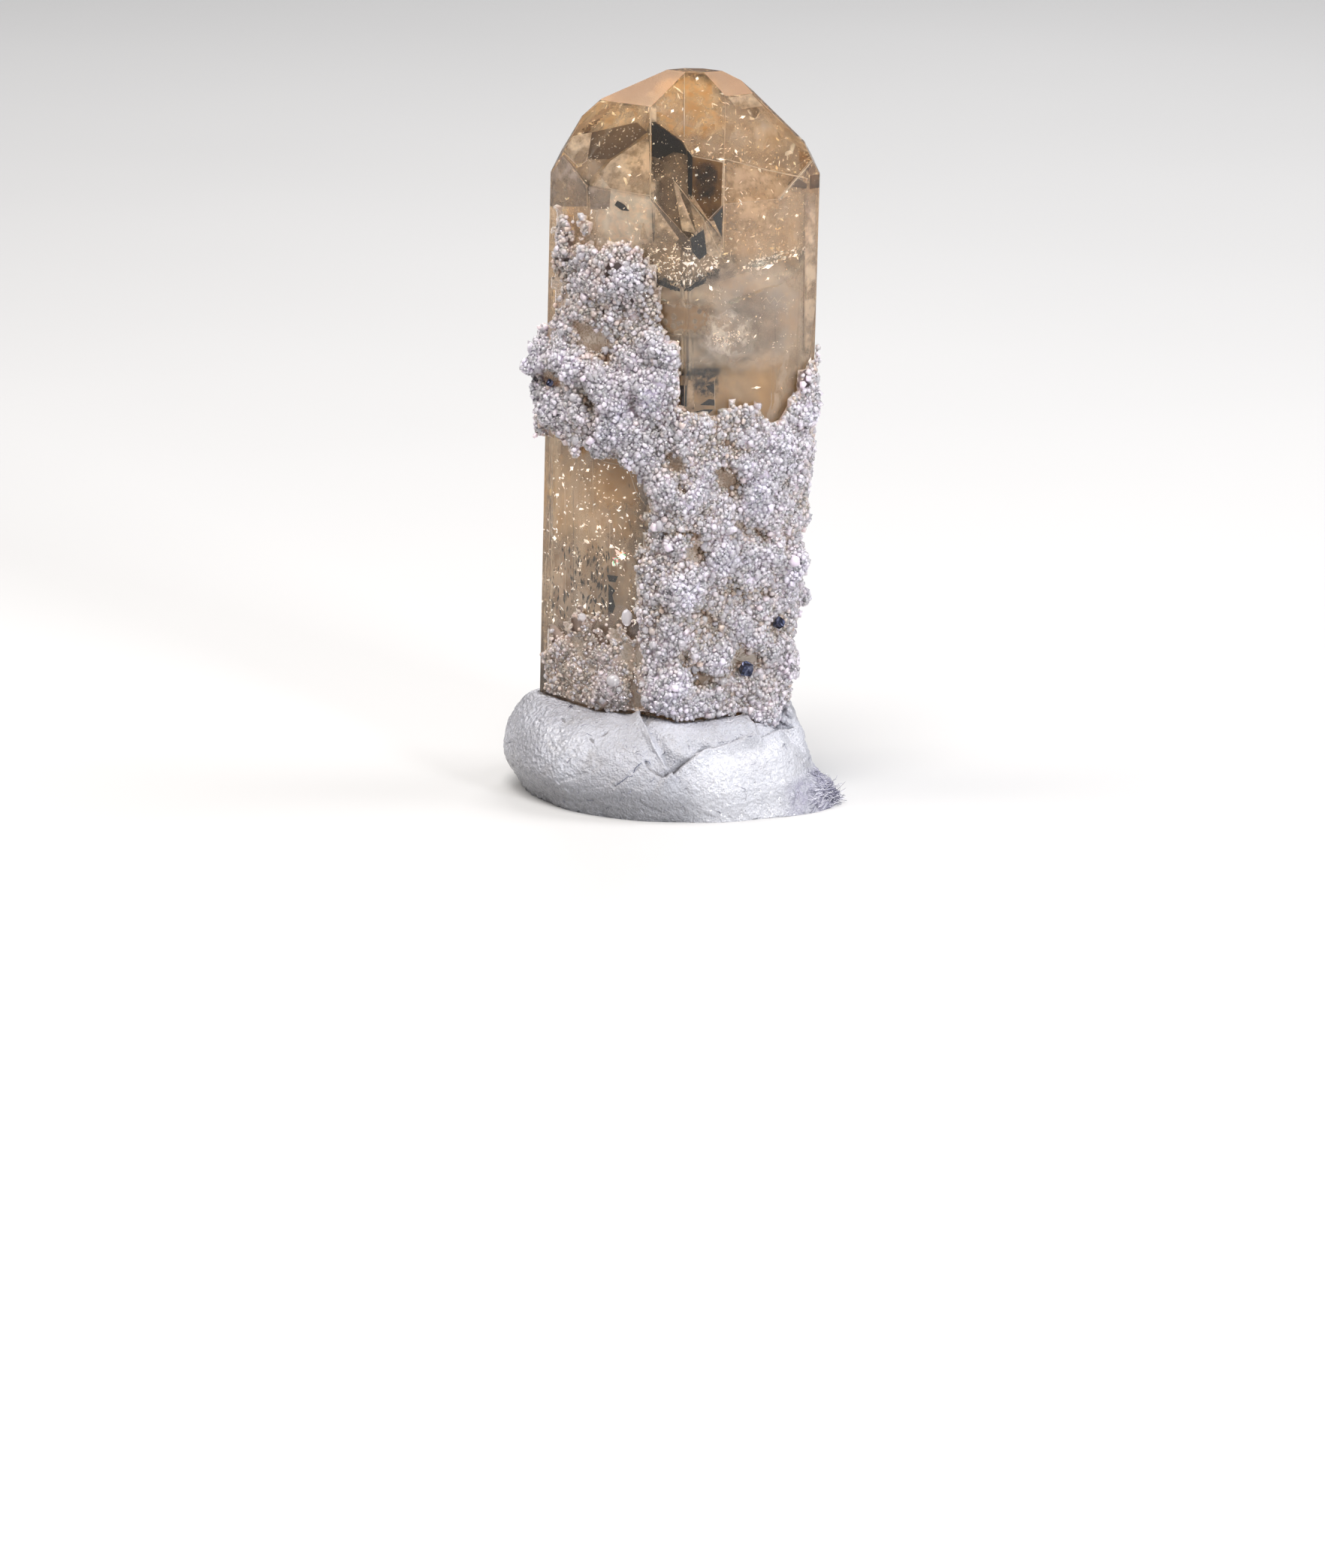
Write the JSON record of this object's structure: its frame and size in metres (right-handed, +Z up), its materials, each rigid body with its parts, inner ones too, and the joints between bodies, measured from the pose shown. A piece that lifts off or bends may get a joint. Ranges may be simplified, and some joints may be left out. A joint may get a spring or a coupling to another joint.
{
  "type": "topaz crystal specimen",
  "caption": "Clear champagne topaz prism with a domed, many-faced tip, a sugary quartz crust and black metallic grains, standing upright in a folded lump of white putty.",
  "frame": {"origin": "on the putty's flat underside, below the middle of the crystal", "axes": "+Z up along the crystal, the side seen in the picture faces -Y, +X to the right of it"},
  "size_m": [0.0056, 0.0048, 0.0121],
  "materials": {
    "topaz": "polished",
    "quartz": "sugary, sparkling",
    "black_mineral": "metallic lustre",
    "putty": "satin"
  },
  "bodies": {
    "root": {"topaz_crystal": "topaz", "quartz_crust": "quartz", "black_grain_1": "black_mineral", "black_grain_2": "black_mineral", "black_grain_3": "black_mineral", "putty_base": "putty"}
  },
  "joints": []
}
